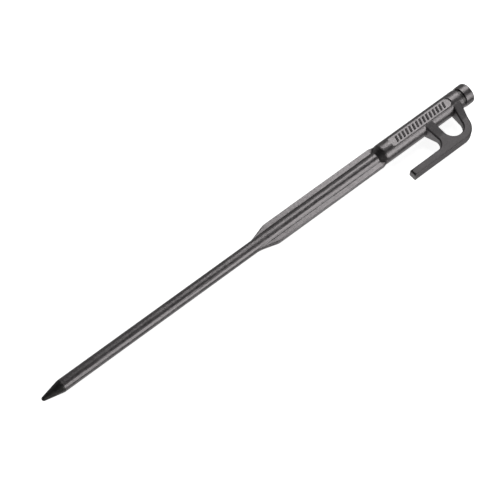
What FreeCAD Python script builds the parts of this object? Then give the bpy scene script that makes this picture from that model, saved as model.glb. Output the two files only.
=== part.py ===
import FreeCAD, Part
import math
import os
import re
import Sketcher

# Forged steel tent stake, lying on its side.  The stake's axis is the X axis,
# the struck face is at x = 0 and the point lies at x = -stake_length.
# The hook stands out towards -Y and its plate is level, so +Z is up.

sizes = [
    # name, millimetres (or degrees, or a count), what it is
    ("stake_length", 300.0, "struck face to point"),
    ("shank_dia", 7.15, "round shank"),
    ("core_top_dia", 7.0, "core between the fins, where it meets the neck"),
    ("barrel_dia", 12.1, "upper barrel that carries the hook"),
    ("head_dia", 12.4, "striking head"),
    ("groove_dia", 10.9, "groove under the striking head"),
    ("point_length", 12.0, "cone at the driving end"),
    ("nose_radius", 1.25, "rounded end of the cone"),
    ("head_length", 5.4, "striking head"),
    ("head_round", 0.9, "rounding of the struck rim"),
    ("groove_length", 1.7, "groove under the head"),
    ("barrel_length", 59.6, "barrel, groove to neck"),
    ("rim_round", 0.35, "rounding of the barrel's rims and of the head's inner rim"),
    ("neck_length", 4.2, "flare between the core and the barrel"),
    ("neck_step", 0.45, "shoulder where the flare meets the barrel"),
    ("fin_span", 13.4, "across both fins"),
    ("fin_thickness", 2.6, "each fin"),
    ("fin_run", 76.0, "full height of the fins"),
    ("fin_ramp", 12.0, "slope at the fins' lower end"),
    ("fin_edge", 0.4, "bevel on the fins' outer edges"),
    ("hook_thickness", 5.2, "hook plate"),
    ("strap_width", 4.8, "arm, and the wall round the eye"),
    ("eye_to_face", 24.0, "eye centre from the struck face, along the stake"),
    ("eye_out", 12.4, "eye centre from the stake's axis"),
    ("eye_radius", 6.1, "round end of the eye"),
    ("eye_flare_low", 1.6, "how far the eye widens at its lower leg"),
    ("eye_flare_high", 3.0, "how far the eye widens at its upper leg"),
    ("leg_foot_width", 6.4, "each leg, measured along the stake's axis"),
    ("leg_waist", 5.9, "lower leg at its narrowest"),
    ("throat_radius", 5.1, "inside corner between the lower leg and the arm"),
    ("arm_reach", 37.8, "arm end from the eye centre, along the stake"),
    ("foot_angle", 55.0, "angle round the barrel at which a leg's face leaves it"),
    ("hook_round", 1.0, "rounding round the hook's outline"),
    ("cheek_out", 11.2, "where the legs begin to thicken, from the stake's axis"),
    ("pocket_width", 5.6, "recess along the top of the barrel"),
    ("pocket_depth", 0.75, "recess, at its middle"),
    ("pocket_margin_low", 6.6, "recess from the neck"),
    ("pocket_margin_high", 8.4, "recess from the groove"),
    ("bar_count", 15, "raised bars in the recess"),
    ("bar_margin", 4.8, "first and last bar's middle from the recess's ends"),
    ("bar_width", 1.0, "each bar, along the stake"),
    ("bar_length", 3.4, "each bar, across the stake"),
    ("bar_slant", 1.3, "how far a bar leans along the stake"),
    ("bar_height", 0.4, "each bar above the recess floor"),
]

derived = [
    # name, formula, what it is
    ("groove_end", "-head_length", "head to groove"),
    ("barrel_end", "groove_end - groove_length", "groove to barrel"),
    ("neck_end", "barrel_end - barrel_length", "barrel to neck"),
    ("core_end", "neck_end - neck_length", "neck to core"),
    ("shank_end", "core_end - fin_run - fin_ramp", "core to shank"),
    ("point_end", "point_length - stake_length", "shank to point"),
    ("hook_reach", "eye_out + eye_radius + strap_width", "outer edge of the arm from the axis"),
    ("arm_inner", "eye_out + eye_radius", "inner edge of the arm from the axis"),
    ("throat_centre", "eye_radius + leg_waist + throat_radius", "throat corner from the eye centre"),
    ("foot_half", "barrel_dia / 2 * sin(foot_angle * 1 deg)", "half thickness of a leg at the barrel"),
    ("foot_out", "barrel_dia / 2 * cos(foot_angle * 1 deg)", "where a leg's face leaves the barrel"),
    ("pocket_floor", "barrel_dia / 2 - pocket_depth", "recess floor above the axis"),
    ("pocket_length", "barrel_length - pocket_margin_low - pocket_margin_high", "recess, end to end"),
    ("bar_pitch", "(pocket_length - bar_margin * 2) / (bar_count - 1)", "from one bar to the next"),
]

doc = FreeCAD.newDocument("tent_stake")
sheet = doc.addObject("Spreadsheet::Sheet", "Sizes")


def write_sheet():
    """Fill the sheet: a value or a formula in column A, what it is in column B."""
    row = 0
    for name, value, note in sizes:
        row += 1
        sheet.set(f"A{row}", str(value))
        sheet.set(f"B{row}", note)
        sheet.setAlias(f"A{row}", name)
    for name, formula, note in derived:
        row += 1
        sheet.set(f"A{row}", "=" + formula)
        sheet.set(f"B{row}", note)
        sheet.setAlias(f"A{row}", name)
    doc.recompute()


def bound(formula):
    """A formula on the sheet's names, written so that an object can use it."""
    names = {entry[0] for entry in sizes + derived}
    return re.sub(r"[a-z_]+", lambda word: f"Sizes.{word[0]}" if word[0] in names else word[0], formula)


def size_of(formula):
    """What a formula on the sheet's names comes to, as a plain number."""
    value = sheet.evalExpression(formula)
    return float(getattr(value, "Value", value))


def place(thing, along):
    """Put a sub-part at its distance along the stake's axis."""
    thing.setExpression("Placement.Base.x", bound(along))


def new_body(name, along):
    body = doc.addObject("PartDesign::Body", name)
    body.Label = name
    place(body, along)
    return body


def new_sketch(body, name, role):
    """An empty sketch on one of the body's own origin planes."""
    sketch = body.newObject("Sketcher::SketchObject", name)
    plane = [item for item in body.Origin.OriginFeatures if item.Role == role][0]
    sketch.AttachmentSupport = [(plane, "")]
    sketch.MapMode = "FlatFace"
    return sketch


def constrain(sketch, name, kind, places, formula):
    """A named dimension of a sketch, bound to the sheet."""
    index = sketch.addConstraint(Sketcher.Constraint(kind, *places, size_of(formula)))
    sketch.renameConstraint(index, name)
    sketch.setExpression(f"Constraints.{name}", bound(formula))


def closed_outline(sketch, points):
    """Straight edges through the points and back to the first."""
    edges = []
    for number, point in enumerate(points):
        after = points[(number + 1) % len(points)]
        line = Part.LineSegment(FreeCAD.Vector(*point, 0), FreeCAD.Vector(*after, 0))
        edges.append(sketch.addGeometry(line, False))
    for number, edge in enumerate(edges):
        after = edges[(number + 1) % len(edges)]
        sketch.addConstraint(Sketcher.Constraint("Coincident", edge, 2, after, 1))
    return edges


def rod(name, along, diameter, length):
    """A round bar from its own x = 0 towards the head."""
    body = new_body(name, along)
    sketch = new_sketch(body, name + "_circle", "YZ_Plane")
    middle = FreeCAD.Vector(0, 0, 0)
    sketch.addGeometry(Part.Circle(middle, FreeCAD.Vector(0, 0, 1), size_of(diameter) / 2), False)
    sketch.addConstraint(Sketcher.Constraint("Coincident", 0, 3, -1, 1))
    constrain(sketch, "across", "Diameter", (0,), diameter)
    pad = body.newObject("PartDesign::Pad", name + "_bar")
    pad.Profile = sketch
    pad.setExpression("Length", bound(length))
    doc.recompute()
    return body, pad


def edges_where(feature, test):
    """Names of a feature's edges that pass a test."""
    found = enumerate(feature.Shape.Edges, start=1)
    return [f"Edge{number}" for number, edge in found if test(edge)]


def dress(body, kind, name, base, edges, amount):
    """A fillet or chamfer of a named size on some edges of the last feature."""
    feature = body.newObject("PartDesign::" + kind, name)
    feature.Base = (base, edges)
    value = {"Fillet": "Radius", "Chamfer": "Size"}[kind]
    feature.setExpression(value, bound(amount))
    doc.recompute()
    return feature


def rim_at(feature, along):
    """The round rim of a feature that lies at one distance along its axis."""
    def on_rim(edge):
        box = edge.BoundBox
        return abs(box.XMin - along) < 1e-6 and abs(box.XMax - along) < 1e-6
    return edges_where(feature, on_rim)


def corner(sketch, name, edge, along, out):
    """Dimension the start of an edge from the sketch's origin, along and out."""
    for kind, letter, formula in (("DistanceX", "x", along), ("DistanceY", "y", out)):
        if size_of(formula) == 0:
            axis = {"x": -2, "y": -1}[letter]
            sketch.addConstraint(Sketcher.Constraint("PointOnObject", edge, 1, axis))
        elif size_of(formula) > 0:
            constrain(sketch, name + letter, kind, (-1, 1, edge, 1), formula)
        else:
            constrain(sketch, name + letter, kind, (edge, 1, -1, 1), f"-({formula})")


def outline(sketch, corners):
    """A closed outline whose corners are pairs of formulas, each one dimensioned."""
    edges = closed_outline(sketch, [(size_of(along), size_of(out)) for along, out in corners])
    for number, (edge, (along, out)) in enumerate(zip(edges, corners)):
        corner(sketch, f"p{number}", edge, along, out)


def turned(name, along, corners):
    """A half outline turned round the stake's axis."""
    body = new_body(name, along)
    sketch = new_sketch(body, name + "_outline", "XY_Plane")
    outline(sketch, corners)
    turn = body.newObject("PartDesign::Revolution", name + "_turn")
    turn.Profile = sketch
    turn.ReferenceAxis = (sketch, ["H_Axis"])
    turn.Angle = 360
    doc.recompute()
    return body, turn


def join(sketch, *pairs):
    """Make ends of edges meet: pairs of (edge, end, edge, end)."""
    for pair in pairs:
        sketch.addConstraint(Sketcher.Constraint("Coincident", *pair))


def tangent(sketch, *pairs):
    """Make ends of edges meet and run smoothly into each other."""
    for pair in pairs:
        sketch.addConstraint(Sketcher.Constraint("Tangent", *pair))


def line(sketch, start, end):
    return sketch.addGeometry(Part.LineSegment(FreeCAD.Vector(*start), FreeCAD.Vector(*end)), False)


def arc(sketch, centre, radius, start, end):
    """An arc from one angle to another, in degrees, anticlockwise."""
    circle = Part.Circle(FreeCAD.Vector(*centre), FreeCAD.Vector(0, 0, 1), radius)
    return sketch.addGeometry(Part.ArcOfCircle(circle, math.radians(start), math.radians(end)), False)


def make_point():
    """Cone with a rounded nose; its own x = 0 is where it meets the shank."""
    body = new_body("point", "point_end")
    sketch = new_sketch(body, "point_outline", "XY_Plane")
    radius = size_of("shank_dia / 2")
    length = size_of("point_length")
    nose = size_of("nose_radius")
    slope = math.asin((radius - nose) / (length - nose))
    touch = (nose - length - nose * math.sin(slope), nose * math.cos(slope))
    base = line(sketch, (0, 0), (0, radius))
    cone = line(sketch, (0, radius), touch)
    tip = arc(sketch, (nose - length, 0), nose, 90 + math.degrees(slope), 180)
    axis = line(sketch, (-length, 0), (0, 0))
    join(sketch, (base, 2, cone, 1), (tip, 2, axis, 1), (axis, 2, base, 1), (base, 1, -1, 1))
    tangent(sketch, (cone, 2, tip, 1))
    sketch.addConstraint(Sketcher.Constraint("Vertical", base))
    sketch.addConstraint(Sketcher.Constraint("Horizontal", axis))
    sketch.addConstraint(Sketcher.Constraint("PointOnObject", tip, 3, -1))
    constrain(sketch, "base_radius", "DistanceY", (base, 1, base, 2), "shank_dia / 2")
    constrain(sketch, "length", "DistanceX", (axis, 1, axis, 2), "point_length")
    constrain(sketch, "nose", "Radius", (tip,), "nose_radius")
    turn = body.newObject("PartDesign::Revolution", "point_turn")
    turn.Profile = sketch
    turn.ReferenceAxis = (sketch, ["H_Axis"])
    turn.Angle = 360


def make_core():
    """Core between the fins, a little slimmer at the neck than at the shank."""
    length = "fin_run + fin_ramp"
    turned("blade_core", "shank_end",
           [("0", "0"), (length, "0"), (length, "core_top_dia / 2"), ("0", "shank_dia / 2")])


def make_neck():
    """Flare that widens from the core to just under the barrel's size."""
    low_radius = "core_top_dia / 2"
    high_radius = "barrel_dia / 2 - neck_step"
    turned("neck_flare", "core_end",
           [("0", "0"), ("neck_length", "0"), ("neck_length", high_radius), ("0", low_radius)])


def make_barrel():
    """Barrel with a long round-ended recess on top and a row of leaning bars in it."""
    body, pad = rod("barrel", "neck_end", "barrel_dia", "barrel_length")
    rims = rim_at(pad, 0) + rim_at(pad, size_of("barrel_length"))
    rounded = dress(body, "Fillet", "barrel_rims", pad, rims, "rim_round")
    recess = new_sketch(body, "recess_outline", "XY_Plane")
    recess.setExpression("AttachmentOffset.Base.z", bound("pocket_floor"))
    half = size_of("pocket_width / 2")
    low = size_of("pocket_margin_low") + half
    high = size_of("pocket_margin_low + pocket_length") - half
    near = line(recess, (low, -half), (high, -half))
    high_end = arc(recess, (high, 0), half, -90, 90)
    far = line(recess, (high, half), (low, half))
    low_end = arc(recess, (low, 0), half, 90, 270)
    tangent(recess, (near, 2, high_end, 1), (high_end, 2, far, 1), (far, 2, low_end, 1), (low_end, 2, near, 1))
    recess.addConstraint(Sketcher.Constraint("Horizontal", near))
    recess.addConstraint(Sketcher.Constraint("PointOnObject", low_end, 3, -1))
    constrain(recess, "end_radius", "Radius", (low_end,), "pocket_width / 2")
    constrain(recess, "low_centre", "DistanceX", (-1, 1, low_end, 3), "pocket_margin_low + pocket_width / 2")
    constrain(recess, "centres", "DistanceX", (low_end, 3, high_end, 3), "pocket_length - pocket_width")
    pocket = body.newObject("PartDesign::Pocket", "recess")
    pocket.Profile = recess
    pocket.Type = "ThroughAll"
    pocket.Reversed = True
    doc.recompute()
    if pocket.Shape.Volume > rounded.Shape.Volume - size_of("pocket_length * pocket_depth"):
        raise ValueError("the recess does not cut the barrel")
    first_bar = new_sketch(body, "bar_outline", "XY_Plane")
    first_bar.setExpression("AttachmentOffset.Base.z", bound("pocket_floor"))
    start = "pocket_margin_low + bar_margin - (bar_width + bar_slant) / 2"
    outline(first_bar, [(start, "-bar_length / 2"), (start + " + bar_width", "-bar_length / 2"),
                        (start + " + bar_width + bar_slant", "bar_length / 2"),
                        (start + " + bar_slant", "bar_length / 2")])
    bar = body.newObject("PartDesign::Pad", "bar")
    bar.Profile = first_bar
    bar.setExpression("Length", bound("bar_height"))
    doc.recompute()
    row = body.newObject("PartDesign::LinearPattern", "bar_row")
    row.Originals = [bar]
    row.Direction = (first_bar, ["H_Axis"])
    row.setExpression("Length", bound("bar_pitch * (bar_count - 1)"))
    row.setExpression("Occurrences", bound("bar_count"))
    body.Tip = row


def make_head():
    """Striking head with a rounded rim at the struck face."""
    body, pad = rod("striking_head", "groove_end", "head_dia", "head_length")
    struck = dress(body, "Fillet", "struck_rim", pad, rim_at(pad, size_of("head_length")), "head_round")
    dress(body, "Fillet", "inner_rim", struck, rim_at(struck, 0), "rim_round")


def make_fin(name, side):
    """Thin fin along one side of the core; side is +1 or -1 along Y."""
    blank = new_body(name + "_blank", "shank_end")
    sketch = new_sketch(blank, name + "_outline", "XY_Plane")
    sign = {1: "", -1: "-"}[side]
    corners = [("0", "0"), ("0", f"{sign}shank_dia / 2"), ("fin_ramp", f"{sign}fin_span / 2"),
               ("fin_ramp + fin_run", f"{sign}fin_span / 2"),
               ("fin_ramp + fin_run + neck_length", f"{sign}(barrel_dia / 2 - neck_step)"),
               ("fin_ramp + fin_run + neck_length", "0")]
    outline(sketch, corners)
    pad = blank.newObject("PartDesign::Pad", name + "_plate")
    pad.Profile = sketch
    pad.Midplane = True
    pad.setExpression("Length", bound("fin_thickness"))
    doc.recompute()

    def outer(edge):
        """Long edges of the plate away from the axis."""
        near = edge.distToShape(Part.makeLine((-1, 0, 0), (size_of("stake_length"), 0, 0)))[0]
        return near > size_of("shank_dia / 2") and edge.BoundBox.ZLength < 1e-6
    dress(blank, "Chamfer", name + "_edges", pad, edges_where(pad, outer), "fin_edge")
    round_core = doc.addObject("Part::Fuse", name + "_clearance")
    round_core.Base = part_cone(name + "_core", "shank_end", "shank_dia / 2", "core_top_dia / 2",
                                "fin_run + fin_ramp")
    round_core.Tool = part_cone(name + "_flare", "core_end", "core_top_dia / 2",
                                "barrel_dia / 2 - neck_step", "neck_length")
    fin = doc.addObject("Part::Cut", name)
    fin.Label = name
    fin.Base = blank
    fin.Tool = round_core


def lay_along_axis(solid, along):
    """Turn a cone or cylinder to lie along X, starting at a distance along the stake."""
    solid.Placement.Rotation = FreeCAD.Rotation(FreeCAD.Vector(0, 1, 0), 90)
    place(solid, along)


def part_cone(name, along, low_radius, high_radius, length):
    cone = doc.addObject("Part::Cone", name)
    cone.setExpression("Radius1", bound(low_radius))
    cone.setExpression("Radius2", bound(high_radius))
    cone.setExpression("Height", bound(length))
    lay_along_axis(cone, along)
    return cone


def part_cylinder(name, along, radius, length):
    cylinder = doc.addObject("Part::Cylinder", name)
    cylinder.setExpression("Radius", bound(radius))
    cylinder.setExpression("Height", bound(length))
    lay_along_axis(cylinder, along)
    return cylinder


def hook_outline(sketch):
    """Outline of the whole hook plate, with its origin on the axis beside the eye.

    It runs down the upper leg's outer edge, round the bend, along the arm and back,
    round the throat, up the lower leg, then round the eye.
    """
    eye = size_of("eye_radius")
    out = -size_of("eye_out")
    wall = size_of("eye_radius + strap_width")
    arm_end = -size_of("arm_reach")
    throat = size_of("throat_radius")
    throat_x = -size_of("throat_centre")
    throat_y = -size_of("arm_inner - throat_radius")
    high_inner = size_of("eye_radius + eye_flare_high")
    high_outer = high_inner + size_of("leg_foot_width")
    low_inner = -size_of("eye_radius + eye_flare_low")
    low_outer = low_inner - size_of("leg_foot_width")
    right = [touch_angle(high_outer, out, wall, 1), touch_angle(high_inner, out, eye, 1)]
    left = [touch_angle(low_inner, out, eye, -1)]
    throat_angle = touch_angle(low_outer - throat_x, throat_y, throat, 1)

    def on_circle(centre, radius, angle):
        turn = math.radians(angle)
        return (centre[0] + radius * math.cos(turn), centre[1] + radius * math.sin(turn))
    middle = (0, out)
    corner_centre = (throat_x, throat_y)
    outer_leg = line(sketch, (high_outer, 0), on_circle(middle, wall, right[0]))
    bend = arc(sketch, middle, wall, 270, 360 + right[0])
    arm_outer = line(sketch, (0, out - wall), (arm_end, out - wall))
    arm_tip = line(sketch, (arm_end, out - wall), (arm_end, out - eye))
    arm_edge = line(sketch, (arm_end, out - eye), (throat_x, out - eye))
    throat_arc = arc(sketch, corner_centre, throat, 270, 360 + throat_angle)
    low_leg = line(sketch, on_circle(corner_centre, throat, throat_angle), (low_outer, 0))
    low_foot = line(sketch, (low_outer, 0), (low_inner, 0))
    eye_low = line(sketch, (low_inner, 0), on_circle(middle, eye, left[0]))
    eye_arc = arc(sketch, middle, eye, left[0], 360 + right[1])
    eye_high = line(sketch, on_circle(middle, eye, right[1]), (high_inner, 0))
    high_foot = line(sketch, (high_inner, 0), (high_outer, 0))
    tangent(sketch, (outer_leg, 2, bend, 2), (bend, 1, arm_outer, 1), (arm_edge, 2, throat_arc, 1),
            (throat_arc, 2, low_leg, 1), (eye_low, 2, eye_arc, 1), (eye_arc, 2, eye_high, 1))
    join(sketch, (arm_outer, 2, arm_tip, 1), (arm_tip, 2, arm_edge, 1), (low_leg, 2, low_foot, 1),
         (low_foot, 2, eye_low, 1), (eye_high, 2, high_foot, 1), (high_foot, 2, outer_leg, 1),
         (bend, 3, eye_arc, 3))
    for edge in (arm_outer, arm_edge):
        sketch.addConstraint(Sketcher.Constraint("Horizontal", edge))
    sketch.addConstraint(Sketcher.Constraint("Vertical", arm_tip))
    for edge, end in ((low_foot, 1), (low_foot, 2), (high_foot, 1), (high_foot, 2)):
        sketch.addConstraint(Sketcher.Constraint("PointOnObject", edge, end, -1))
    sketch.addConstraint(Sketcher.Constraint("PointOnObject", eye_arc, 3, -2))
    constrain(sketch, "eye_out", "DistanceY", (eye_arc, 3, -1, 1), "eye_out")
    constrain(sketch, "eye", "Radius", (eye_arc,), "eye_radius")
    constrain(sketch, "wall", "Radius", (bend,), "eye_radius + strap_width")
    constrain(sketch, "throat", "Radius", (throat_arc,), "throat_radius")
    constrain(sketch, "arm_inner", "DistanceY", (arm_edge, 1, -1, 1), "arm_inner")
    constrain(sketch, "arm_reach", "DistanceX", (arm_tip, 1, -1, 1), "arm_reach")
    constrain(sketch, "throat_centre", "DistanceX", (throat_arc, 3, -1, 1), "throat_centre")
    constrain(sketch, "high_inner", "DistanceX", (-1, 1, high_foot, 1), "eye_radius + eye_flare_high")
    constrain(sketch, "high_width", "DistanceX", (high_foot, 1, high_foot, 2), "leg_foot_width")
    constrain(sketch, "low_inner", "DistanceX", (low_foot, 2, -1, 1), "eye_radius + eye_flare_low")
    constrain(sketch, "low_width", "DistanceX", (low_foot, 1, low_foot, 2), "leg_foot_width")


def touch_angle(foot, centre_y, radius, side):
    """Where a line from (foot, 0) touches a circle on the sketch's V axis, as an angle.

    The circle's centre is (0, centre_y); side is +1 for its right flank, -1 for its left.
    """
    reach = math.hypot(foot, centre_y)
    towards = math.atan2(-centre_y, foot)
    return math.degrees(towards - side * math.acos(radius / reach))


def make_hook_blank():
    """Hook plate in one piece, thicker towards the barrel, cut to sit on the barrel."""
    body = new_body("hook_blank", "-eye_to_face")
    sketch = new_sketch(body, "hook_outline", "XY_Plane")
    hook_outline(sketch)
    plate = body.newObject("PartDesign::Pad", "hook_plate")
    plate.Profile = sketch
    plate.Midplane = True
    plate.setExpression("Length", bound("foot_half * 2"))
    doc.recompute()
    last = plate
    for name, sign in (("upper", ""), ("under", "-")):
        cheek = new_sketch(body, name + "_cheek", "YZ_Plane")
        outline(cheek, [("-foot_out", f"{sign}foot_half"), ("-cheek_out", f"{sign}hook_thickness / 2"),
                        ("-hook_reach - foot_half", f"{sign}hook_thickness / 2"),
                        ("-hook_reach - foot_half", f"{sign}foot_half * 2"),
                        ("-foot_out", f"{sign}foot_half * 2")])
        cut = body.newObject("PartDesign::Pocket", name + "_cheek_cut")
        cut.Profile = cheek
        cut.Type = "ThroughAll"
        cut.Midplane = True
        doc.recompute()
        if cut.Shape.Volume >= last.Shape.Volume:
            raise ValueError("a cheek of the hook is not cut")
        last = cut

    def rim(edge):
        """Edges of the two broad faces, away from the barrel."""
        box = edge.BoundBox
        level = abs(abs(box.ZMin) - size_of("hook_thickness / 2")) < 1e-6 and box.ZLength < 1e-6
        crease = abs(box.YMin + size_of("cheek_out")) < 1e-6 and box.YLength < 1e-6
        leg = box.ZLength > 0.1 and box.YLength > 1 and box.YMin > -size_of("cheek_out") - 1e-6
        return (level and not crease) or leg
    dress(body, "Fillet", "hook_rim", last, edges_where(last, rim), "hook_round")
    return body


def zone(name, low_x, high_x, low_out, high_out):
    """Box that takes one stretch of the hook; distances are along the stake and out from it."""
    box = doc.addObject("Part::Box", name)
    box.setExpression("Length", bound(f"({high_x}) - ({low_x})"))
    box.setExpression("Width", bound(f"({high_out}) - ({low_out})"))
    box.setExpression("Height", bound("foot_half * 4"))
    box.setExpression("Placement.Base.x", bound(f"{low_x} - eye_to_face"))
    box.setExpression("Placement.Base.y", bound(f"-({high_out})"))
    box.setExpression("Placement.Base.z", bound("-foot_half * 2"))
    return box


def make_hook():
    """The hook's five stretches, meeting face to face."""
    blank = make_hook_blank()
    saddle = part_cylinder("barrel_saddle", "neck_end", "barrel_dia / 2", "barrel_length + groove_length")
    seated = doc.addObject("Part::Cut", "hook_seated")
    seated.Base = blank
    seated.Tool = saddle
    lowest = "-arm_reach - strap_width"
    highest = "eye_radius * 2 + eye_flare_high + leg_foot_width + strap_width"
    furthest = "hook_reach + strap_width"
    stretches = [
        ("hook_arm", lowest, "-throat_centre", "eye_out", furthest),
        ("hook_web", "-throat_centre", "0", "eye_out", furthest),
        ("hook_bend", "0", highest, "eye_out", furthest),
        ("lower_leg", "-throat_centre", "0", "0", "eye_out"),
        ("upper_leg", "0", highest, "0", "eye_out"),
    ]
    for name, low_x, high_x, low_out, high_out in stretches:
        part = doc.addObject("Part::Common", name)
        part.Label = name
        part.Base = seated
        part.Tool = zone(name + "_zone", low_x, high_x, low_out, high_out)


nodes = ["point", "shank", "blade_core", "fin_hook_side", "fin_back_side", "neck_flare", "barrel",
         "head_groove", "striking_head", "lower_leg", "upper_leg", "hook_web", "hook_bend", "hook_arm"]

write_sheet()
make_point()
rod("shank", "point_end", "shank_dia", "shank_end - point_end")
make_core()
make_fin("fin_hook_side", -1)
make_fin("fin_back_side", 1)
make_neck()
make_barrel()
rod("head_groove", "barrel_end", "groove_dia", "groove_length")
make_head()
make_hook()
doc.recompute()

for thing in doc.Objects:
    if {"Invalid", "Error"} & set(thing.State):
        raise ValueError(f"{thing.Name} did not build: {thing.State}")
for node in nodes:
    shape = doc.getObject(node).Shape
    if shape.isNull() or not shape.isValid():
        raise ValueError(f"{node} has no valid shape")
    print(f"{node}: {len(shape.Solids)} solid, {shape.Volume:.1f} cubic millimetres")

os.makedirs("parts", exist_ok=True)
for node in nodes:
    doc.getObject(node).Shape.exportStep(f"parts/{node}.step")
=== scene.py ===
import math

import bmesh
import bpy
from mathutils import Matrix, Vector


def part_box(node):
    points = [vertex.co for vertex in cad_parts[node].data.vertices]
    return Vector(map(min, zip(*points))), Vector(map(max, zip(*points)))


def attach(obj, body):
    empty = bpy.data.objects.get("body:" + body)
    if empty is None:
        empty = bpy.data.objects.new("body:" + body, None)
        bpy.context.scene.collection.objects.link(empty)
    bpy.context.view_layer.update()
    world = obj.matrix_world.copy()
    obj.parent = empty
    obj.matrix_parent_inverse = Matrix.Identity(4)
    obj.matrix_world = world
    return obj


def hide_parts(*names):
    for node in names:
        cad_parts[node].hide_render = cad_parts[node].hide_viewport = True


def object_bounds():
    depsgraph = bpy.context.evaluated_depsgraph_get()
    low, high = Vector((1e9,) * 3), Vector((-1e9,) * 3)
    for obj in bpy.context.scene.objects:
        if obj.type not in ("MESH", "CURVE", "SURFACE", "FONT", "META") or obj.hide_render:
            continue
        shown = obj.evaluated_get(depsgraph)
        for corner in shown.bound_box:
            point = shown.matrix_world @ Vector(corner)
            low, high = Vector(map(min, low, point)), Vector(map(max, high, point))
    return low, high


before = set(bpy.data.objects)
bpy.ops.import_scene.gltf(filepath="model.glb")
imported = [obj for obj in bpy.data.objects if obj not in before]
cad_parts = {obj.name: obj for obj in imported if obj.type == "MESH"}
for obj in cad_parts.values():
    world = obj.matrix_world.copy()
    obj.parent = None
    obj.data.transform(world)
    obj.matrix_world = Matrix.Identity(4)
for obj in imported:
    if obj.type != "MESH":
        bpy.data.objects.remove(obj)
cadLow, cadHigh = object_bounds()
perMm = 0.001  # pieces are shaped in millimetres and brought to metres once
near = 0.001  # millimetres within which two places count as one
print("frame loaded,", len(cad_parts), "nodes")


def spanOf(*nodes):  # lowest and highest corner of some nodes, in millimetres
    lows, highs = zip(*(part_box(node) for node in nodes))
    low = Vector(min(corner[k] for corner in lows) for k in range(3))
    high = Vector(max(corner[k] for corner in highs) for k in range(3))
    return low / perMm, high / perMm


def steps(start, end, count):  # evenly spaced values, both ends included
    return [start + (end - start) * k / count for k in range(count + 1)]


def arcPoints(centre, radius, start, end, count):
    turns = [math.radians(a) for a in steps(start, end, count)]
    return [(centre[0] + radius * math.cos(a), centre[1] + radius * math.sin(a)) for a in turns]


def ease(low, high, value):  # 0 below low, 1 above high, smooth between
    share = min(1, max(0, (value - low) / (high - low)))
    return share * share * (3 - 2 * share)


class Wire:  # a node's socket that can stand in a sum
    def __init__(self, finish, socket):
        self.finish, self.socket = finish, socket

    def join(self, operation, first, second):
        return self.finish.node("Math", {"operation": operation}, {0: first, 1: second})

    def __add__(self, other):
        return self.join("ADD", self, other)

    def __sub__(self, other):
        return self.join("SUBTRACT", self, other)

    def __rsub__(self, other):
        return self.join("SUBTRACT", other, self)

    def __mul__(self, other):
        return self.join("MULTIPLY", self, other)

    __radd__, __rmul__ = __add__, __mul__


class Finish:  # a material, or the world, while its nodes are laid out
    def __init__(self, owner, shader="Principled BSDF"):
        owner.use_nodes = True
        self.owner, self.tree = owner, owner.node_tree
        self.shader = self.tree.nodes[shader]

    def feed(self, socket, value):
        if isinstance(value, Wire):
            self.tree.links.new(value.socket, socket)
        else:
            socket.default_value = value

    def show(self, values):  # values for the shader's own sockets
        for name, value in values.items():
            self.feed(self.shader.inputs[name], value)

    def node(self, kind, settings=None, values=None, output=0):
        made = self.tree.nodes.new("ShaderNode" + kind)
        for name, value in (settings or {}).items():
            setattr(made, name, value)
        for name, value in (values or {}).items():
            self.feed(made.inputs[name], value)
        return Wire(self, made.outputs[output])

    def blend(self, factor, first, second):
        settings = {"data_type": "RGBA", "blend_type": "MIX"}
        return self.node("Mix", settings, {0: factor, 6: first, 7: second}, output=2)

    def band(self, low, high, value):  # 0 at low, 1 at high, smooth between
        settings = {"interpolation_type": "SMOOTHSTEP"}
        return self.node("MapRange", settings, {"Value": value, "From Min": low, "From Max": high})

    def noise(self, place, scale, detail=2.0, rough=0.5):
        values = {"Vector": place, "Scale": scale, "Detail": detail, "Roughness": rough}
        return self.node("TexNoise", {"noise_dimensions": "3D"}, values)


def coatedSteel(name, look):  # thin dark coat on forged steel
    steel = Finish(bpy.data.materials.new(name))
    place = steel.node("TexCoord", output="Object")
    inMm = steel.node("Mapping", {"vector_type": "POINT"}, {"Vector": place, "Scale": (1 / perMm,) * 3})
    drawnScale = (look["drawStretch"] / perMm, 1 / perMm, 1 / perMm)
    drawn = steel.node("Mapping", {"vector_type": "POINT"}, {"Vector": place, "Scale": drawnScale})
    cloud = steel.noise(inMm, look["cloudScale"], look["cloudDetail"])
    grain = steel.noise(inMm, look["grainScale"], look["grainDetail"], look["grainRough"])
    line = steel.noise(drawn, look["lineScale"], look["lineDetail"])
    pit = steel.node("TexVoronoi", {"feature": "F1"}, {"Vector": inMm, "Scale": look["pitScale"]})
    pitted = 1 - steel.band(*look["pitBand"], pit)
    shade = steel.band(*look["cloudBand"], cloud) * look["cloudShare"]
    shade = shade + steel.band(*look["grainBand"], grain) * look["grainShare"] + line * look["lineShare"]
    colour = steel.blend(shade, look["dark"], look["light"])
    worn = steel.band(*look["wornBand"], line * look["wornLines"] + cloud * look["wornClouds"])
    colour = steel.blend(worn * look["wear"], colour, look["bare"])
    colour = steel.blend(pitted * look["pitShare"], colour, look["dark"])
    rough = look["rough"] + (grain - 0.5) * look["roughSpread"] + (cloud - 0.5) * look["roughSpread"]
    height = grain * look["grainHeight"] + cloud * look["cloudHeight"] + line * look["lineHeight"]
    height = height - pitted * look["pitDepth"]
    bump = steel.node("Bump", {}, {"Strength": 1.0, "Distance": perMm, "Height": height})
    steel.show({"Base Color": colour, "Roughness": rough, "Normal": bump, "Metallic": look["metallic"]})
    return steel.owner


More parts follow.
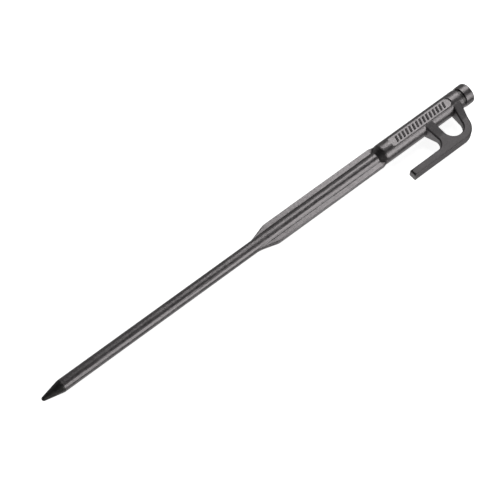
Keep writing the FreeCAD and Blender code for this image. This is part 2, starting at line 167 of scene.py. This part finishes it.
steelLook = {  # scales are per millimetre, heights in millimetres
    "dark": (0.115, 0.108, 0.110, 1), "light": (0.20, 0.19, 0.192, 1), "bare": (0.34, 0.33, 0.33, 1),
    "metallic": 0.9, "rough": 0.36, "roughSpread": 0.2, "wear": 0.35,
    "cloudScale": 0.22, "grainScale": 1.2, "lineScale": 1.1, "drawStretch": 0.03, "pitScale": 0.9,
    "cloudDetail": 3, "grainDetail": 3, "lineDetail": 2, "grainRough": 0.6,
    "cloudBand": (0.3, 0.7), "grainBand": (0.35, 0.65), "pitBand": (0.08, 0.3), "wornBand": (0.62, 0.78),
    "cloudShare": 0.3, "grainShare": 0.5, "lineShare": 0.2, "pitShare": 0.5,
    "wornLines": 0.6, "wornClouds": 0.4,
    "grainHeight": 0.075, "cloudHeight": 0.10, "lineHeight": 0.02, "pitDepth": 0.012,
}
shankSteel = coatedSteel("drawn_shank_steel", steelLook | {"lineHeight": 0.13, "wear": 0.5})
barrelSteel = coatedSteel("smooth_barrel_steel", steelLook | {"drawStretch": 0.2})
hookSteel = coatedSteel("cast_hook_steel", steelLook | {
    "drawStretch": 0.6, "rough": 0.58, "grainHeight": 0.05, "dark": (0.095, 0.090, 0.092, 1),
    "light": (0.165, 0.157, 0.159, 1), "wear": 0.2})
barSteel = coatedSteel("dark_bar_steel", steelLook | {
    "dark": (0.035, 0.033, 0.034, 1), "light": (0.065, 0.062, 0.063, 1), "wear": 0.0, "rough": 0.5})
# painted shade: a darker steel colour for the tip cone and for the groove under the head, standing in for the
# shade that falls on them
paintedShadeSteel = coatedSteel("point_and_groove_painted_shade", steelLook | {
    "dark": (0.05, 0.048, 0.047, 1), "light": (0.10, 0.096, 0.095, 1), "wear": 0.1, "rough": 0.4})
neckSteel = coatedSteel("shaded_neck_steel", steelLook | {
    "dark": (0.08, 0.074, 0.075, 1), "light": (0.16, 0.150, 0.151, 1), "wear": 0.1})
print("finishes made")


def addPiece(name, bm, material, nodes, sharp=38, evenNormals=True):
    bmesh.ops.remove_doubles(bm, verts=bm.verts, dist=near)
    bmesh.ops.recalc_face_normals(bm, faces=bm.faces)
    bmesh.ops.scale(bm, vec=(perMm,) * 3, verts=bm.verts)
    for face in bm.faces:
        face.smooth = True
    mesh = bpy.data.meshes.new(name)
    bm.to_mesh(mesh)
    bm.free()
    mesh.set_sharp_from_angle(angle=math.radians(sharp))
    mesh.materials.append(material)
    piece = bpy.data.objects.new(name, mesh)
    bpy.context.scene.collection.objects.link(piece)
    if evenNormals:
        even = piece.modifiers.new("even_normals", "WEIGHTED_NORMAL")
        even.keep_sharp = True
    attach(piece, "root")
    if nodes:
        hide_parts(*nodes)
    print("made", name, "with", len(mesh.polygons), "faces")


def roundEdges(bm, edges, amount, segments, clamp=False):
    bmesh.ops.bevel(bm, geom=edges, offset=amount, offset_type="OFFSET", affect="EDGES",
                    segments=segments, profile=0.5, material=-1, clamp_overlap=clamp)


turning = {"sides": 96, "roundSteps": 5, "radiusSlack": 0.02}


def turnPiece(profile, rounds=()):  # profile of (along, radius), rounds of (along, radius, rounding)
    bm = bmesh.new()
    line = [bm.verts.new((along, 0, radius)) for along, radius in profile]
    edges = [bm.edges.new(pair) for pair in zip(line, line[1:])]
    bmesh.ops.spin(bm, geom=line + edges, cent=(0, 0, 0), axis=(1, 0, 0), dvec=(0, 0, 0),
                   angle=math.tau, steps=turning["sides"], use_merge=True)
    bmesh.ops.remove_doubles(bm, verts=bm.verts, dist=near)
    for along, radius, amount in rounds:
        slack = turning["radiusSlack"]
        ring = [e for e in bm.edges if all(abs(v.co.x - along) < near
                and abs(math.hypot(v.co.y, v.co.z) - radius) < slack for v in e.verts)]
        roundEdges(bm, ring, amount, turning["roundSteps"], clamp=True)
    return bm


# the driven end: a cone with a rounded nose
point = {"nose": 1.25, "noseSteps": 10, "shoulder": 0.5, "collar": 0.6}
low, high = spanOf("point")
shankRadius = high.z
nose = point["nose"]
coneRise, coneSlant = shankRadius - nose, math.hypot(high.x - low.x - nose, shankRadius - nose)
noseTurns = steps(0, math.pi / 2 - math.asin(coneRise / coneSlant), point["noseSteps"])
noseArc = [(low.x + nose - nose * math.cos(a), nose * math.sin(a)) for a in noseTurns]
shankStart = high.x + point["collar"]
profile = noseArc + [(high.x, shankRadius), (shankStart, shankRadius), (shankStart, 0)]
bm = turnPiece(profile, [(high.x, shankRadius, point["shoulder"])])
# the point takes the painted-shade steel, darker to stand for the shade on its tip-facing cone
addPiece("driving_point", bm, paintedShadeSteel, ["point"])

# the round shank
shank = {"rings": 40}
low, high = spanOf("shank")
side = [(along, shankRadius) for along in steps(shankStart, high.x, shank["rings"])]
addPiece("round_shank", turnPiece([(shankStart, 0), *side, (high.x, 0)]), shankSteel, ["shank"])

# the finned blade: a round core with a flat fin each side
blade = {
    "finThickness": 2.6, "finEdge": 0.45, "rampEdge": 1.15, "rootRound": 0.8, "ramp": 12.0,
    "straightRise": 0.55, "easedRise": 0.45, "sharpening": (0.6, 1.15), "shoulder": 2, "inside": 0.3,
    "coreSteps": 14, "rootSteps": 6, "flatSteps": 4, "edgeSteps": 6,
    "rampRings": 24, "shoulderRings": 4, "rings": 12,
}


def bladeOutline(core, reach, edge):  # the section's places across and up, all the way round
    half, root = blade["finThickness"] / 2, blade["rootRound"]
    rootY = math.sqrt((core + root) ** 2 - (half + root) ** 2)
    turn = math.degrees(math.atan2(half + root, rootY))
    quarter = arcPoints((0, 0), core, 90, turn, blade["coreSteps"])
    quarter += arcPoints((rootY, half + root), root, turn + 180, 270, blade["rootSteps"])[1:]
    quarter += [(y, half) for y in steps(rootY, reach - edge, blade["flatSteps"])[1:]]
    quarter += arcPoints((reach - edge, half - edge), edge, 90, 0, blade["edgeSteps"])[1:] + [(reach, 0)]
    side = quarter + [(y, -z) for y, z in reversed(quarter[:-1])]
    return side + [(-y, z) for y, z in reversed(side[1:-1])]


def runAlong(stations, sectionAt):  # a closed solid through one section at each station
    bm = bmesh.new()
    ring = [bm.verts.new((stations[0], y, z)) for y, z in sectionAt(stations[0])]
    edges = [bm.edges.new((a, b)) for a, b in zip(ring, ring[1:] + ring[:1])]
    for along in stations[1:]:
        grown = bmesh.ops.extrude_edge_only(bm, edges=edges)["geom"]
        fresh = {g for g in grown if isinstance(g, bmesh.types.BMVert)}
        edges = [g for g in grown if isinstance(g, bmesh.types.BMEdge) and fresh.issuperset(g.verts)]
        places = dict(zip(ring, sectionAt(along)))
        following = {}
        for vert in fresh:
            before = next(e.other_vert(vert) for e in vert.link_edges if e.other_vert(vert) in places)
            vert.co = (along, *places[before])
            following[before] = vert
        ring = [following[vert] for vert in ring]
    bmesh.ops.holes_fill(bm, edges=[e for e in bm.edges if e.is_boundary])
    return bm


low, high = spanOf("blade_core", "fin_hook_side", "fin_back_side")
neckLow, neckHigh = spanOf("neck_flare")
bladeStart, bladeEnd, finReach = low.x, neckLow.x, high.y
crisp = bladeOutline(shankRadius, finReach, blade["finEdge"])
worn = bladeOutline(shankRadius, finReach, blade["rampEdge"])


def bladeSection(along):  # the fins rise out of the round shank over the ramp
    risen = (along - bladeStart) / blade["ramp"]
    rise = min(1, max(0, risen))
    height = blade["straightRise"] * rise + blade["easedRise"] * ease(0, 1, rise)
    sharpness = ease(*blade["sharpening"], risen)
    section = []
    for (y1, z1), (y2, z2) in zip(crisp, worn):
        y, z = y2 + (y1 - y2) * sharpness, z2 + (z1 - z2) * sharpness
        onCore = math.sqrt(max(0, shankRadius ** 2 - z * z))
        raised = onCore + (abs(y) - onCore) * height
        section.append((math.copysign(raised, y) if abs(y) > near else 0, z))
    return section


rampEnd = bladeStart + blade["ramp"]
shoulderEnd = rampEnd + blade["shoulder"]
stations = steps(bladeStart, rampEnd, blade["rampRings"])
stations += steps(rampEnd, shoulderEnd, blade["shoulderRings"])[1:]
stations += steps(shoulderEnd, bladeEnd + blade["inside"], blade["rings"])[1:]
bm = runAlong(stations, bladeSection)
addPiece("finned_blade", bm, shankSteel, ["blade_core", "fin_hook_side", "fin_back_side"])

# the flare: the finned section grows out to the round of the barrel
neck = {"step": 0.12, "inside": 1.2, "rings": 8}
barrelLow, barrelHigh = spanOf("barrel")
barrelRadius = barrelHigh.y
neckTop = barrelRadius - neck["step"]


def neckSection(along):  # the core widens evenly, and the fins ease down to meet it
    share = min(1, max(0, (along - bladeEnd) / (neckHigh.x - bladeEnd)))
    late = ease(0, 1, share)
    section = []
    for y, z in crisp:
        turn, radius = math.atan2(z, y), math.hypot(y, z)
        part = late if radius > neckTop else share
        radius += (neckTop - radius) * part
        section.append((radius * math.cos(turn), radius * math.sin(turn)))
    return section


stations = steps(bladeEnd, neckHigh.x, neck["rings"]) + [neckHigh.x + neck["inside"]]
addPiece("flared_neck", runAlong(stations, neckSection), neckSteel, ["neck_flare"])

# the barrel, with a long recess along its top
barrel = {
    "rim": 0.35, "recessWidth": 5.6, "recessDepth": 0.75, "marginLow": 6.6, "marginHigh": 7.0,
    "cornerRound": 0.9, "wallSoft": 0.13, "grooveBack": 0.5, "rimSteps": 5,
    "rowMargin": 0.4, "cornerRun": 2, "roundRun": 3.2, "rows": (20, 30, 28), "fineTurn": 34, "turnSteps": 60,
}
barrelEnd = barrelHigh.x - barrel["grooveBack"]
recessStart, recessEnd = barrelLow.x + barrel["marginLow"], barrelEnd - barrel["marginHigh"]
recessFloor = barrelRadius - barrel["recessDepth"]


def recessInset(x, y):  # how far a place lies inside the recess's outline
    wide = barrel["recessWidth"] / 2
    if x > recessEnd - wide:
        return wide - math.hypot(x - (recessEnd - wide), y)
    corner = barrel["cornerRound"]
    outX, outY = recessStart + corner - x, abs(y) - (wide - corner)
    if outX > 0 and outY > 0:
        return corner - math.hypot(outX, outY)
    return corner - max(outX, outY)


rim, rimSteps = barrel["rim"], barrel["rimSteps"]
lowRim = [(barrelLow.x + rim - rim * math.sin(a), barrelRadius - rim + rim * math.cos(a))
          for a in steps(math.pi / 2, 0, rimSteps)]
highRim = [(barrelEnd - rim + rim * math.sin(a), barrelRadius - rim + rim * math.cos(a))
           for a in steps(0, math.pi / 2, rimSteps)]
cornerRows, middleRows, roundRows = barrel["rows"]
cornerEnd, roundStart = recessStart + barrel["cornerRun"], recessEnd - barrel["roundRun"]
recessRows = steps(recessStart - barrel["rowMargin"], cornerEnd, cornerRows)
recessRows += steps(cornerEnd, roundStart, middleRows)[1:]
recessRows += steps(roundStart, recessEnd + barrel["rowMargin"], roundRows)[1:]
rows = [(barrelLow.x, 0), *lowRim, *((x, barrelRadius) for x in recessRows), *highRim, (barrelEnd, 0)]
fine = barrel["fineTurn"]
turns = steps(-fine, fine, barrel["turnSteps"]) + steps(fine, 360 - fine, barrel["turnSteps"])[1:]
bm = bmesh.new()
bmesh.ops.create_grid(bm, x_segments=len(rows) - 1, y_segments=len(turns) - 1, size=0.5)
for vert in bm.verts:
    along, radius = rows[round((vert.co.x + 0.5) * (len(rows) - 1))]
    turn = math.radians(turns[round((vert.co.y + 0.5) * (len(turns) - 1))])
    vert.co = (along, radius * math.sin(turn), radius * math.cos(turn))
    if radius > 0 and vert.co.z > recessFloor:
        sunk = ease(-barrel["wallSoft"], barrel["wallSoft"], recessInset(vert.co.x, vert.co.y))
        vert.co.z -= sunk * (vert.co.z - recessFloor)
addPiece("gripping_barrel", bm, barrelSteel, ["barrel"], sharp=50, evenNormals=False)

# plain slanted bars standing in the recess
bars = {
    "count": 15, "margin": 4.8, "width": 1.25, "length": 3.7, "slant": 1.3, "height": 0.4, "edge": 0.12,
    "edgeSteps": 2, "inside": 0.3,
}
lean = bars["slant"] / bars["length"]
shear = Matrix(((1, lean, 0, 0), (0, 1, 0, 0), (0, 0, 1, 0), (0, 0, 0, 1)))
barSize = (bars["width"], bars["length"], bars["height"] + bars["inside"])
barMiddle = recessFloor + (bars["height"] - bars["inside"]) / 2
bm = bmesh.new()
for along in steps(recessStart + bars["margin"], recessEnd - bars["margin"], bars["count"] - 1):
    cube = bmesh.ops.create_cube(bm, size=1)["verts"]
    bmesh.ops.scale(bm, vec=barSize, verts=cube)
    bmesh.ops.transform(bm, matrix=shear, verts=cube)
    bmesh.ops.translate(bm, vec=(along, 0, barMiddle), verts=cube)
roundEdges(bm, bm.edges[:], bars["edge"], bars["edgeSteps"])
addPiece("recess_bars", bm, barSteel, [])

# the groove under the head, and the head that is struck
head = {"struckRound": 0.9, "rim": 0.35, "crown": 0.12, "ringInside": 0.6}
low, high = spanOf("head_groove")
ringLow, ringHigh, ringRadius = barrelEnd - head["ringInside"], high.x, high.z
profile = [(ringLow, 0), (ringLow, ringRadius), (ringHigh, ringRadius), (ringHigh, 0)]
# the groove ring takes the painted-shade steel, darker to stand for the shade in the groove
addPiece("head_groove_ring", turnPiece(profile), paintedShadeSteel, ["head_groove"])
low, high = spanOf("striking_head")
headLow, crownStart, headRadius = low.x - barrel["grooveBack"], high.x - head["crown"], high.z
profile = [(headLow, 0), (headLow, headRadius), (crownStart, headRadius), (high.x, 0)]
rounds = [(headLow, headRadius, head["rim"]), (crownStart, headRadius, head["struckRound"])]
bm = turnPiece(profile, rounds)
addPiece("struck_head", bm, barrelSteel, ["striking_head"])

# the hook: one plate with a long eye, its legs thicker where they meet the barrel
hook = {
    "thickness": 5.2, "wall": 4.8, "eyeAlong": -24.0, "eyeOut": 12.4, "eyeRadius": 6.1, "flareLow": 1.6,
    "flareHigh": 3.0, "legFoot": 6.4, "legWaist": 5.9, "throat": 5.1, "reach": 38.6,
    "creaseOut": 12.7, "creaseSoft": 0.8, "legSlope": 0.256, "round": 1.0, "endRound": 0.45, "inside": 2.6,
    "outerSteps": 30, "throatSteps": 18, "eyeSteps": 36, "roundSteps": 5, "endSteps": 3,
    "uprightTilt": 0.2, "broadTilt": 0.8, "clearance": 0.01,
}


def touchTurn(foot, centreY, radius, side):  # where a line from (foot, 0) touches a circle below the axis
    towards = math.atan2(-centreY, foot)
    return math.degrees(towards - side * math.acos(radius / math.hypot(foot, centreY)))


def hookOutline():  # one loop: out round the plate, back round the eye, whose middle is at x = 0
    eye, out = hook["eyeRadius"], -hook["eyeOut"]
    outer = eye + hook["wall"]
    throat = hook["throat"]
    throatMiddle = (-(eye + hook["legWaist"] + throat), out - eye + throat)
    highIn, lowIn = eye + hook["flareHigh"], -(eye + hook["flareLow"])
    highOut, lowOut = highIn + hook["legFoot"], lowIn - hook["legFoot"]
    outerTurn = touchTurn(highOut, out, outer, 1)
    eyeHigh, eyeLow = touchTurn(highIn, out, eye, 1), touchTurn(lowIn, out, eye, -1)
    throatTurn = touchTurn(lowOut - throatMiddle[0], throatMiddle[1], throat, 1)
    loop = [(highOut, 0)] + arcPoints((0, out), outer, outerTurn, -90, hook["outerSteps"])
    loop += [(-hook["reach"], out - outer), (-hook["reach"], out - eye)]
    loop += arcPoints(throatMiddle, throat, -90, throatTurn, hook["throatSteps"]) + [(lowOut, 0)]
    hole = [(lowIn, 0)] + arcPoints((0, out), eye, eyeLow, eyeHigh + 360, hook["eyeSteps"])
    return loop + hole + [(highIn, 0)]


def cutAcross(bm, out, clear=False):  # a line across the plate, this far from the stake's axis
    bmesh.ops.bisect_plane(bm, geom=bm.verts[:] + bm.edges[:] + bm.faces[:], dist=near / 10,
                           plane_co=(0, -out, 0), plane_no=(0, 1, 0), clear_outer=clear)


def isRim(edge):  # between a broad face and the side wall, and clear of the barrel
    tilts = sorted(abs(face.normal.z) for face in edge.link_faces)
    isClear = max(-v.co.y for v in edge.verts) > hook["inside"] + hook["clearance"]
    return tilts[0] < hook["uprightTilt"] and tilts[-1] > hook["broadTilt"] and isClear


bm = bmesh.new()
loop = [bm.verts.new((x + hook["eyeAlong"], y, 0)) for x, y in hookOutline()]
edges = [bm.edges.new((a, b)) for a, b in zip(loop, loop[1:] + loop[:1])]
bmesh.ops.contextual_create(bm, geom=edges)
for out in steps(hook["creaseOut"] + hook["creaseSoft"], hook["creaseOut"] - hook["creaseSoft"], 2):
    cutAcross(bm, out)
cutAcross(bm, hook["inside"], clear=True)
grown = bmesh.ops.extrude_face_region(bm, geom=bm.faces[:])["geom"]
bmesh.ops.translate(bm, vec=(0, 0, 1), verts=[g for g in grown if isinstance(g, bmesh.types.BMVert)])
for vert in bm.verts:
    growth = hook["legSlope"] * max(0, hook["creaseOut"] + vert.co.y)
    vert.co.z = math.copysign(hook["thickness"] / 2 + growth, vert.co.z - 0.5)
bmesh.ops.recalc_face_normals(bm, faces=bm.faces)
armEnd = hook["eyeAlong"] - hook["reach"]
corners = [e for e in bm.edges if all(abs(v.co.x - armEnd) < near for v in e.verts)
           and abs(e.verts[0].co.z - e.verts[1].co.z) > 1]
roundEdges(bm, corners, hook["endRound"], hook["endSteps"])
bm.normal_update()
rims = [e for e in bm.edges if isRim(e)]
roundEdges(bm, rims, hook["round"], hook["roundSteps"])
addPiece("guy_line_hook", bm, hookSteel, ["lower_leg", "upper_leg", "hook_web", "hook_bend", "hook_arm"])

# the floor and its backdrop
floor = {
    "size": 8.0, "squares": 8, "wallFit": 2.05, "wallSides": 64, "rough": 0.9, "glow": 0.87,
    "speckleScale": 3.0, "dark": (0.80, 0.80, 0.80, 1), "light": (0.83, 0.83, 0.83, 1),
}
floorFinish = Finish(bpy.data.materials.new("pale_floor"))
speckle = floorFinish.noise(floorFinish.node("TexCoord", output="Object"), floor["speckleScale"])
floorFinish.show({
    "Base Color": floorFinish.blend(speckle, floor["dark"], floor["light"]), "Roughness": floor["rough"],
    "Specular IOR Level": 0.0, "Emission Color": (1, 1, 1, 1), "Emission Strength": floor["glow"],
})


def addStage(name, bm, lightsObject):  # seen by the camera and left out of reflections
    mesh = bpy.data.meshes.new(name)
    bm.to_mesh(mesh)
    bm.free()
    mesh.materials.append(floorFinish.owner)
    piece = bpy.data.objects.new(name, mesh)
    piece.visible_glossy, piece.visible_diffuse = False, lightsObject
    bpy.context.scene.collection.objects.link(piece)


bm = bmesh.new()
bmesh.ops.create_grid(bm, x_segments=floor["squares"], y_segments=floor["squares"], size=floor["size"] / 2)
bmesh.ops.translate(bm, vec=(0, 0, cadLow.z), verts=bm.verts)
addStage("floor", bm, True)
wallRadius = floor["size"] / floor["wallFit"]
bm = bmesh.new()
bmesh.ops.create_cone(bm, cap_ends=False, segments=floor["wallSides"], radius1=wallRadius,
                      radius2=wallRadius, depth=floor["size"])
addStage("backdrop", bm, False)


# the soft panels
def addPanel(name, towards, distance, wide, tall, power):  # lengths in metres
    light = bpy.data.lights.new(name, "AREA")
    light.shape, light.size, light.size_y, light.energy = "RECTANGLE", wide, tall, power
    panel = bpy.data.objects.new(name, light)
    bpy.context.scene.collection.objects.link(panel)
    direction = Vector(towards).normalized()
    across = (Vector((1, 0, 0)) - direction * direction.x).normalized()
    turned = Matrix((across, direction.cross(across), direction)).transposed().to_4x4()
    turned.translation = (cadLow + cadHigh) / 2 + direction * distance
    panel.matrix_world = turned


addPanel("back_panel", (0.55, 0.40, 0.74), distance=1.1, wide=0.5, tall=0.66, power=4.2)
addPanel("hook_side_panel", (0.38, -0.87, 0.30), distance=1.1, wide=0.8, tall=0.74, power=6.4)

# the room that the steel mirrors
room = {
    "ceiling": (0.05, 0.05, 0.052, 1), "sides": (0.3, 0.3, 0.3, 1), "above": (0.19, 0.19, 0.19, 1),
    "under": (1.0, 1.0, 1.0, 1), "underPoint": (2.4, 2.4, 2.4, 1), "underFarShare": 0.3, "nearShare": 0.4,
    "belowBand": (0.4, 0.8), "underNearBand": (-0.5, 0.0), "beyondBand": (0.45, 0.9), "aheadBand": (0.3, 0.5),
    "highBand": (0.3, 0.8), "behindBand": (0.5, 0.95), "nearBand": (0.45, 0.95), "pointBand": (0.0, 0.35),
    "beyondTilt": (0.7, 0.7, 0.4), "behindTilt": 0.3, "nearTilt": (0.55, 0.85),
}
world = bpy.data.worlds.new("studio")
bpy.context.scene.world = world
studio = Finish(world, "Background")
towards = studio.node("TexCoord", output="Generated")
along, across, upward = (studio.node("SeparateXYZ", values={0: towards}, output=k) for k in range(3))
farShare = room["underFarShare"]
underNear = studio.band(*room["underNearBand"], 0 - across - along) * (1 - farShare) + farShare
below = studio.band(*room["belowBand"], 0 - upward) * underNear
tiltX, tiltY, tiltZ = room["beyondTilt"]
beyond = studio.band(*room["beyondBand"], along * tiltX + across * tiltY - upward * tiltZ)
overhead = studio.band(*room["aheadBand"], along) * studio.band(*room["highBand"], upward)
behind = studio.band(*room["behindBand"], across - upward * room["behindTilt"])
tiltX, tiltY = room["nearTilt"]
nearSide = studio.band(*room["nearBand"], 0 - along * tiltX - across * tiltY)
sky = studio.blend(beyond, room["ceiling"], room["sides"])
sky = studio.blend(behind, sky, room["sides"])
sky = studio.blend(nearSide * room["nearShare"], sky, room["sides"])
sky = studio.blend(overhead, sky, room["above"])
ground = studio.blend(studio.band(*room["pointBand"], 0 - along), room["under"], room["underPoint"])
studio.show({"Color": studio.blend(below, sky, ground)})

# the camera
view = {
    "eye": (-0.51178, -0.34898, 0.81281), "right": (0.75345, -0.65611, 0.04271),
    "up": (0.54502, 0.65957, 0.51760), "lens": 129.6, "sensor": 36, "clip": (0.05, 50),
}
camera = bpy.data.cameras.new("camera")
camera.lens, camera.sensor_width = view["lens"], view["sensor"]
camera.clip_start, camera.clip_end = view["clip"]
holder = bpy.data.objects.new("camera", camera)
bpy.context.scene.collection.objects.link(holder)
right, up = Vector(view["right"]), Vector(view["up"])
pose = Matrix((right, up, right.cross(up))).transposed().to_4x4()
pose.translation = Vector(view["eye"])
holder.matrix_world = pose
bpy.context.scene.camera = holder
bpy.context.scene.view_settings.view_transform = "Standard"
print("stage set")
